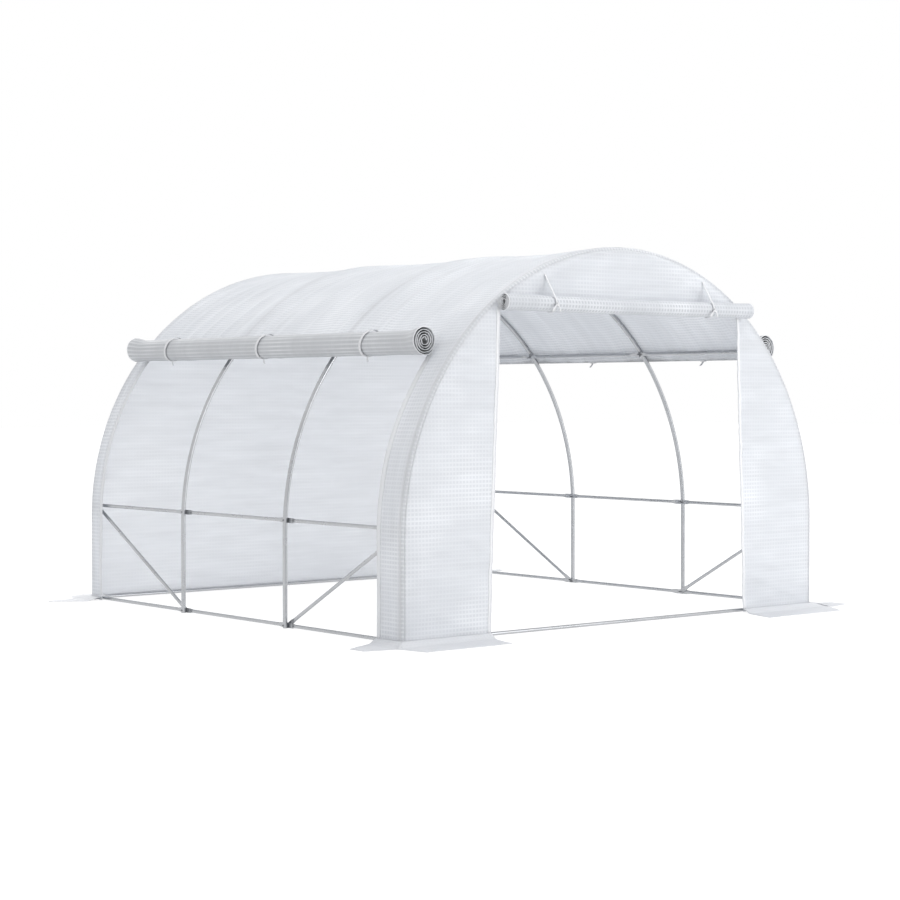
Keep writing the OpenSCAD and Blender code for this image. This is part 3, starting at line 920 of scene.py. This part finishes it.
def webbing(name, ridge, groove_shade, pitch):
    """Narrow woven tape with ribs across it; the low grooves between the ribs take a darker colour, painted
    shade.
    """
    material, tree, surface = blank_material(name)
    cut = shade(tree, "ShaderNodeUVMap", uv_map="cut").outputs["UV"]
    parts = shade(tree, "ShaderNodeSeparateXYZ", {"Vector": cut})
    ribs = []
    for axis, scale in (("X", 1), ("Y", 0.5)):
        turns = maths(tree, "MULTIPLY", parts.outputs[axis], 2 * math.pi / pitch * scale)
        ribs.append(maths(tree, "SINE", turns))
    over_under = maths(tree, "MULTIPLY", *ribs)
    finish = {
        "Base Color": mixed_colour(tree, ranged(tree, over_under, (0, 1), (-1, RIB_TOP)), groove_shade, ridge),
        "Roughness": WEBBING_ROUGH,
        "Normal": bumped(tree, over_under, RIB_BUMP, RIB_DEPTH),
    }
    tree.links.new(shade(tree, "ShaderNodeBsdfPrincipled", finish).outputs["BSDF"], surface)
    return material


white_webbing = webbing("white_webbing", WEBBING_WHITE, WEBBING_GROOVE_SHADE, RIB_PITCH)


def lay_ribbon(name, path, across, width, thick):
    """A band of webbing along a path, spread to both sides along the direction across, and its length."""
    path = np.array(path, float)
    spread = np.linspace(-0.5, 0.5, RIBBON_COLUMNS) * width
    points = path[:, None] + np.array(across, float) * spread[None, :, None]
    run = np.concatenate([[0], np.cumsum(np.linalg.norm(np.diff(path, axis=0), axis=1))])
    return lay_sheet(name, points, grid_of(run, spread), white_webbing, thick), float(run[-1])


def join_ribbons(name, ribbons):
    """Several ribbons as a single object, with the length of them all."""
    pieces, lengths = zip(*ribbons)
    with bpy.context.temp_override(active_object=pieces[0], selected_editable_objects=pieces):
        bpy.ops.object.join()
    pieces[0].name = pieces[0].data.name = name
    return pieces[0], sum(lengths)


for side, way in (("left", -1), ("right", 1)):
    low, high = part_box(f"{side}_roll_straps")
    roll_low, roll_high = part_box(f"{side}_side_roll")
    middle = (roll_low + roll_high) / 2
    strap_pitch = (high.y - low.y - STRAP_W) / (STRAPS - 1)
    loop_r = (roll_high.z - roll_low.z) / 2 * (ROLL_BODY + STRAP_LOOSE) + STRAP_GAP
    to_arch = math.atan2(SPRING_Z - middle.z, -middle.x)
    sweep = to_arch + way * np.linspace(STRAP_OPEN_A, 2 * math.pi - STRAP_OPEN_A, STRAP_ROWS)
    loop_x, loop_z = middle.x + loop_r * np.cos(sweep), middle.z + loop_r * np.sin(sweep)
    tail_top = middle.z - loop_r - STRAP_TAIL_GAP
    drop = np.linspace(0, tail_top - low.z, STRAP_TAIL_ROWS)
    curl = -way * STRAP_TAIL_CURL * (drop / drop[-1]) ** 2
    straps = []
    for k in range(STRAPS):
        strap_y = low.y + STRAP_W / 2 + k * strap_pitch
        loop_y = strap_y + STRAP_SLANT * (1 - np.sin(sweep)) / 2
        loop = np.stack([loop_x, loop_y, loop_z], axis=1)
        straps.append(lay_ribbon(f"{side}_strap_loop_{k}", loop, (0, 1, 0), STRAP_W, STRAP_T))
        tail_y = strap_y + STRAP_SLANT + drop * STRAP_TAIL_LEAN
        tail = np.stack([middle.x + curl, tail_y, tail_top - drop], axis=1)
        tail_w = STRAP_W * TAIL_SHARE
        straps.append(lay_ribbon(f"{side}_strap_tail_{k}", tail, STRAP_TAIL_ACROSS, tail_w, STRAP_T))
    strap, run = join_ribbons(f"{side}_straps", straps)
    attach(strap, "root")
    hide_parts(f"{side}_roll_straps")

# Rolled door: the door sheet, rolled up under the gable to just over the head of the doorway. It is
# wound like the side walls, and bows down a little between its ties.
DOOR_TURNS = 4.2
DOOR_START_A = math.radians(10)
DOOR_ROLL_T = 0.0026
DOOR_BODY = 1.04
DOOR_END = 1.10
DOOR_FLARE_L = 0.10
DOOR_BOW = 0.004
DOOR_SLIP = (0.006, 0.5, 0, 6.1)
DOOR_PLUMP = (0.02, 2.6, 0.2, 3.8)
DOOR_RIDGES = (0.0016, 0.9, 2.4, 5.5)
DOOR_ROWS = 190
DOOR_CELL = (0.55, 0.57, 0.605, 1)
DOOR_THREAD = (0.81, 0.83, 0.86, 1)
DOOR_PASSES_LIGHT = 0.16

door_white = ripstop("ripstop_door", DOOR_CELL, DOOR_THREAD, DOOR_PASSES_LIGHT)
low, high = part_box("door_roll")
DOOR_AXIS_Y = (low.y + high.y) / 2
DOOR_AXIS_Z = (low.z + high.z) / 2
DOOR_ROLL_R = (high.z - low.z) / 2
length = high.x - low.x
angle, radius, used = wound_section(
    DOOR_ROLL_R - DOOR_ROLL_T / 2, DOOR_START_A, -1, DOOR_TURNS, DOOR_ROWS
)
lap, place, roll_x, lap_r, open_r = lap_grid(
    angle,
    radius,
    low.x,
    length,
    DOOR_ROLL_R,
    (DOOR_BODY, DOOR_END, DOOR_FLARE_L),
    (DOOR_SLIP, DOOR_PLUMP, DOOR_RIDGES),
)
axis_y = DOOR_AXIS_Y - DOOR_ROLL_R * (open_r - 1)
axis_z = DOOR_AXIS_Z - DOOR_BOW * np.sin(math.pi * place / length) ** 2
door_points = np.stack(
    [roll_x, axis_y + lap_r * np.cos(angle[lap]), axis_z + lap_r * np.sin(angle[lap])], axis=-1
)
rolled_door = lay_sheet(
    "rolled_door", door_points, np.stack([used[lap], place], axis=-1), door_white, DOOR_ROLL_T
)
# painted shade on the door roll's inner laps, as on the side rolls
shade_inner_laps(rolled_door, 2 * math.pi * DOOR_ROLL_R, length)
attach(rolled_door, "root")
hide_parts("door_roll")

# Door ties: soft white tape sewn to the gable, brought down over the roll and knotted on its front,
# with both ends left hanging.
TIE_T = 0.0012
TAPE_W = 0.010
TIE_SLANT = 0.018
TIE_OFF_WALL = 0.003
TIE_LOOSE = 0.02
TIE_GAP = 0.0015
TIE_WRAP_A = math.radians(170)
TIE_WRAP_ROWS = 28
TIE_SPAN_ROWS = 9
KNOT_R = 0.0075
KNOT_DEPTH = 0.006
KNOT_RISE = 0.0015
KNOT_MID_A = 4
KNOT_END_A = 2.6 * math.pi
KNOT_ROWS = 26
KNOT_OUT = 0.004
KNOT_DOWN = 0.008
KNOT_ACROSS = (0.15, 0, 0.99)
TAIL_L = 0.042
TAIL_LEANS = (-0.75, 0.6)
TAIL_OUT = (-0.004, 0.006)
TAIL_FALL = (0.25, 0.6)
TAIL_ROWS = 9
TAIL_ACROSS = (0.78, 0.2, 0.6)

tie_lift = DOOR_ROLL_R * (DOOR_BODY + TIE_LOOSE) + TIE_GAP
wind = np.linspace(0, KNOT_END_A, KNOT_ROWS)
wound = [KNOT_R * np.cos(wind), -KNOT_DEPTH * np.sin(wind), KNOT_RISE * (wind - KNOT_MID_A)]
share = np.linspace(0, 1, TAIL_ROWS)
ties = []
for tie_x in TIE_X:
    anchor = np.array([tie_x - TIE_SLANT, WALL_Y - TIE_PULL - TIE_OFF_WALL, TIE_Z])
    reach_y, reach_z = DOOR_AXIS_Y - anchor[1], anchor[2] - DOOR_AXIS_Z
    touch_a = math.atan2(reach_z, -reach_y) + math.acos(tie_lift / math.hypot(reach_y, reach_z))
    wrap_a = np.linspace(touch_a, touch_a + TIE_WRAP_A, TIE_WRAP_ROWS)
    wrap_y, wrap_z = DOOR_AXIS_Y + tie_lift * np.cos(wrap_a), DOOR_AXIS_Z + tie_lift * np.sin(wrap_a)
    wrapped = np.stack([np.full(TIE_WRAP_ROWS, tie_x), wrap_y, wrap_z], axis=1)
    straight = anchor + (wrapped[0] - anchor) * np.linspace(0, 1, TIE_SPAN_ROWS)[:-1, None]
    ties.append(lay_ribbon("tie_band", np.concatenate([straight, wrapped]), (1, 0, 0), TAPE_W, TIE_T))
    knot = np.array([tie_x, DOOR_AXIS_Y - tie_lift - KNOT_OUT, DOOR_AXIS_Z - KNOT_DOWN])
    ties.append(lay_ribbon("tie_knot", knot + np.stack(wound, axis=1), KNOT_ACROSS, TAPE_W, TIE_T))
    for lean in TAIL_LEANS:
        tail_out = TAIL_OUT[0] + TAIL_OUT[1] * share**2
        tail_fall = -TAIL_L * (TAIL_FALL[0] + TAIL_FALL[1] * share) * share
        tail = knot + np.stack([lean * TAIL_L * share, tail_out, tail_fall], axis=1)
        across = TAIL_ACROSS * np.array([1, 1, np.sign(lean)])
        ties.append(lay_ribbon("tie_tail", tail, across, TAPE_W * TAIL_SHARE, TIE_T))
door_ties, tie_run = join_ribbons("door_tapes", ties)
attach(door_ties, "root")
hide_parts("door_ties")

# Zips: half a coil zip on white tape, sewn down each edge of the doorway, for closing the door sheet.
# The other halves are rolled up with the door.
ZIP_W = 0.022
ZIP_T = 0.0012
ZIP_LIFT = 0.0014
ZIP_ROWS = 90
ZIP_COLUMNS = 6
ZIP_RIB_PITCH = 0.0016
ZIP_WHITE = (0.77, 0.78, 0.80, 1)
# painted shade: the darker colour in the grooves of the zip tape's weave
ZIP_GROOVE_SHADE = (0.70, 0.71, 0.735, 1)
TOOTH_PITCH = 0.0032
TOOTH_R = 0.0011
TOOTH_L = 0.005
TOOTH_PROUD = 0.6

zip_tape = webbing("zip_tape", ZIP_WHITE, ZIP_GROOVE_SHADE, ZIP_RIB_PITCH)
zip_z = np.linspace(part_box("left_door_zip")[0].z, DOOR_H, ZIP_ROWS)
zip_zz = np.repeat(zip_z[:, None], ZIP_COLUMNS, axis=1)
teeth_rows = []
for side, way, node in ((0, -1, "left_door_zip"), (1, 1, "right_door_zip")):
    zip_x = door_edge(side, zip_z)[:, None] + way * ZIP_W * np.linspace(0, 1, ZIP_COLUMNS)[None]
    zip_y = WALL_Y - wall_swell(zip_x, zip_zz) - ZIP_LIFT
    points = np.stack([zip_x, zip_y, zip_zz], axis=-1)
    cut = np.stack([zip_zz, zip_x], axis=-1)
    name = node.replace("door_zip", "zip_tape")
    tape = lay_sheet(name, points[:, ::way], cut[:, ::way], zip_tape, ZIP_T)
    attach(tape, "root")
    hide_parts(node)
    line = points[:, 1] - (0, ZIP_T / 2 + TOOTH_R * TOOTH_PROUD, 0)
    teeth_rows.append((line, np.tile((0, -1, 0), (ZIP_ROWS, 1))))
sizes = {"Pitch": TOOTH_PITCH, "Radius": TOOTH_R, "Length": TOOTH_L, "Turn": math.pi / 2}
teeth = rod_rows("zip_teeth", teeth_rows, {**sizes, "Material": zip_tape})
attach(teeth, "root")

# Ground skirts: loose flaps of the sheet, sewn to the foot of the walls and strips. They slope off the
# tubes and lie on the ground, to be weighed down with earth.
SKIRT_T = 0.0010
SKIRT_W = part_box("back_skirt")[1].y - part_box("back_panel")[1].y
SKIRT_GAP = 0.0012
SKIRT_LIFT = 0.0008
SKIRT_LAP_Z = 0.024
SKIRT_SLOPE = 0.095
SLOPE_BEND = 1.3
SKIRT_WAVES = ((1.0, 6.5), (0.5, 15))
WAVE_H = 0.006
WAVE_FROM = (0.03, 0.2)
FRAY = 0.008
FRAYS = 5
FRAY_BEND = 3
SKIRT_STEP = 0.018
FEWEST_ROWS = 14
SKIRT_COLUMNS = 20
SKIRT_SEED_STEP = 1.7
WEB_AT = 0.3
WEB = 0.085
WEB_FADE = 0.6
FRONT_SKIRTS_OUT = {"front_left_skirt": (-1.561, -1.022), "front_right_skirt": (0.852, 1.455)}
BACK_SKIRT_IN = 0.02
CORNER_LEAN = 0.050
FREE_LEAN = 0.130
SKIRT_CELL = (0.78, 0.795, 0.825, 1)
SKIRT_THREAD = (0.85, 0.86, 0.885, 1)
SKIRT_PASSES_LIGHT = 0.25

ripstop_skirt = ripstop("ripstop_skirts", SKIRT_CELL, SKIRT_THREAD, SKIRT_PASSES_LIGHT)


def skirt_points(inner_a, inner_b, outer_a, outer_b, webs, rows, seed):
    """A flap from its sewn edge a-b out to its free edge, in plan, with its slope and its waves; webs
    says how far its two ends reach over to the next flap, a part of the way out from the corner."""
    along = np.linspace(0, 1, rows)[:, None, None]
    depth = np.linspace(0, 1, SKIRT_COLUMNS)
    inner = np.array(inner_a) + (np.array(inner_b) - np.array(inner_a)) * along
    outer = np.array(outer_a) + (np.array(outer_b) - np.array(outer_a)) * along
    plan = inner + (outer - inner) * depth[None, :, None]
    near = np.minimum(depth / WEB_AT, (1 - depth) / (1 - WEB_AT))[None, :, None]
    for web, from_end in zip(webs, (along, 1 - along)):
        plan = plan + np.array(web) * near * (1 - soft_step(from_end, 0, WEB_FADE))
    reach = depth * SKIRT_W
    fall = SKIRT_LAP_Z * (1 - soft_step(reach, 0, SKIRT_SLOPE)) ** SLOPE_BEND
    x, y = plan[..., 0], plan[..., 1]
    wave = sum(waves(x, y, (high, per_m, per_m, seed + k)) for k, (high, per_m) in enumerate(SKIRT_WAVES))
    z = SKIRT_LIFT + fall + WAVE_H * soft_step(reach, *WAVE_FROM) * np.clip(wave, 0, 1)
    edge = np.broadcast_to(along[..., 0], x.shape)
    frayed = np.abs(waves(edge, edge, (FRAY, FRAYS, 0, seed + len(SKIRT_WAVES)))) * depth**FRAY_BEND
    way = (outer - inner) / np.linalg.norm(outer - inner, axis=-1, keepdims=True)
    return np.concatenate([plan - way * frayed[..., None], z[..., None]], axis=-1)


def corner_web(node, corner):
    """Which way a flap's end reaches over at a corner of the tunnel; nowhere at its other end."""
    x, y = corner
    at_corner = abs(x) > ARCH_R and abs(y) > HOOP_Y[-1]
    if not at_corner:
        return 0.0, 0.0
    return (0.0, math.copysign(WEB, y)) if "side" in node else (math.copysign(WEB, x), 0.0)


face_y = -WALL_Y + SKIRT_GAP
face_x = SHEET_R + SKIRT_GAP
skirts = {}
for node, (out_a, out_b) in FRONT_SKIRTS_OUT.items():
    low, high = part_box(node)
    in_a, in_b = (math.copysign(face_x, x) if abs(x) > ARCH_R else x for x in (low.x, high.x))
    skirts[node] = ((in_a, -face_y), (in_b, -face_y), (out_a, low.y), (out_b, low.y))
low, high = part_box("back_skirt")
skirts["back_skirt"] = (
    (high.x, face_y),
    (low.x, face_y),
    (high.x - BACK_SKIRT_IN, high.y),
    (low.x + BACK_SKIRT_IN, high.y),
)
for side, way in (("left", -1), ("right", 1)):
    for end, push in (("front", -1), ("back", 1)):
        node = f"{end}_{side}_side_skirt"
        low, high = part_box(node)
        far = low.x if way < 0 else high.x
        corner_y, free_y = push * face_y, high.y if end == "front" else low.y
        ends = [(corner_y, corner_y + push * CORNER_LEAN), (free_y, free_y + push * FREE_LEAN)]
        ends.sort(reverse=way < 0)
        inner = [(way * face_x, near_y) for near_y, _ in ends]
        skirts[node] = (*inner, *((far, far_y) for _, far_y in ends))
for k, (node, (inner_a, inner_b, outer_a, outer_b)) in enumerate(skirts.items()):
    run = math.dist(inner_a, inner_b)
    rows = max(FEWEST_ROWS, round(run / SKIRT_STEP))
    webs = [corner_web(node, corner) for corner in (inner_a, inner_b)]
    points = skirt_points(inner_a, inner_b, outer_a, outer_b, webs, rows, SKIRT_SEED_STEP * k)
    cut = grid_of(np.linspace(0, run, rows), np.linspace(0, SKIRT_W, SKIRT_COLUMNS))
    skirt = lay_sheet(f"{node}_sheet", points[:, ::-1], cut[:, ::-1], ripstop_skirt, SKIRT_T)
    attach(skirt, "root")
    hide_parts(node)
    outline = [inner_a, inner_b, outer_b, outer_a]
    corners = zip(outline, outline[1:] + outline[:1])
    area = abs(sum(ax * by - bx * ay for (ax, ay), (bx, by) in corners)) / 2

# Stage: a pale floor under soft light, white where the camera sees past the object, with the camera
# where the photo was taken from.
CAMERA_AT = (-7.6761, -9.3634, 1.2164)
CAMERA_YAW = math.radians(39.491)
CAMERA_PITCH = math.radians(-1.503)
FOCAL_PX = 2063.2
PICTURE_PX = 900
SENSOR_MM = 36
FLOOR_HALF = 60
FLOOR_Z = -0.0006
FLOOR_PALE = (0.92, 0.92, 0.92, 1)
FLOOR_FAINT = (0.30, 0.30, 0.30, 1)
FLOOR_GLOW = 0.84
WORLD_LIGHT = 1.01
LAMP_SIZE = 5.0
LAMPS = {
    "key": ((3.5, -8.5, 2.6), (0.0, -1.0, 0.5), 200),
    "top": ((0.5, -2.0, 7.5), (0.0, -1.0, 0.5), 135),
    "back": ((1.0, 8.5, 3.0), (0.0, 1.5, 0.8), 150),
}

camera_data = bpy.data.cameras.new("camera")
camera_data.sensor_width = SENSOR_MM
camera_data.lens = FOCAL_PX / PICTURE_PX * SENSOR_MM
camera = bpy.data.objects.new("camera", camera_data)
camera.location = CAMERA_AT
camera.rotation_euler = (math.pi / 2 + CAMERA_PITCH, 0, -CAMERA_YAW)
bpy.context.collection.objects.link(camera)
bpy.context.scene.camera = camera
bpy.context.scene.view_settings.view_transform = "Standard"


def shown_white(tree):
    """1 for the rays that show the background: straight ones, mirrored ones and ones through a sheet."""
    path = shade(tree, "ShaderNodeLightPath").outputs
    mirrored = maths(tree, "MAXIMUM", path["Is Camera Ray"], path["Is Glossy Ray"])
    return maths(tree, "MAXIMUM", mirrored, path["Is Transmission Ray"])


floor_corners = [(x * FLOOR_HALF, y * FLOOR_HALF, FLOOR_Z) for x, y in ((-1, -1), (1, -1), (1, 1), (-1, 1))]
floor_mesh = bpy.data.meshes.new("floor")
floor_mesh.from_pydata(floor_corners, [], [(0, 1, 2, 3)])
floor = bpy.data.objects.new("floor", floor_mesh)
bpy.context.collection.objects.link(floor)
floor_material, tree, surface = blank_material("pale_floor")
pale = shade(tree, "ShaderNodeBsdfDiffuse", {"Color": FLOOR_PALE})
faint = shade(tree, "ShaderNodeBsdfDiffuse", {"Color": FLOOR_FAINT})
white = shade(tree, "ShaderNodeEmission", {"Strength": FLOOR_GLOW})
lit = shade(tree, "ShaderNodeAddShader", {0: faint.outputs[0], 1: white.outputs[0]})
ground = shade(tree, "ShaderNodeMixShader", {0: shown_white(tree), 1: pale.outputs[0], 2: lit.outputs[0]})
tree.links.new(ground.outputs[0], surface)
floor_mesh.materials.append(floor_material)

world = bpy.data.worlds.new("studio")
bpy.context.scene.world = world
world.use_nodes = True
tree = world.node_tree
tree.nodes.clear()
strength = ranged(tree, shown_white(tree), (WORLD_LIGHT, 1.0), (0, 1))
sky = shade(tree, "ShaderNodeBackground", {"Color": (1, 1, 1, 1), "Strength": strength})
shade(tree, "ShaderNodeOutputWorld", {"Surface": sky.outputs[0]})

for name, (place, target, power) in LAMPS.items():
    lamp_data = bpy.data.lights.new(name, "AREA")
    lamp_data.shape = "DISK"
    lamp_data.size = LAMP_SIZE
    lamp_data.energy = power
    lamp = bpy.data.objects.new(name, lamp_data)
    lamp.location = place
    lamp.rotation_euler = (Vector(target) - Vector(place)).to_track_quat("-Z", "Y").to_euler()
    bpy.context.collection.objects.link(lamp)
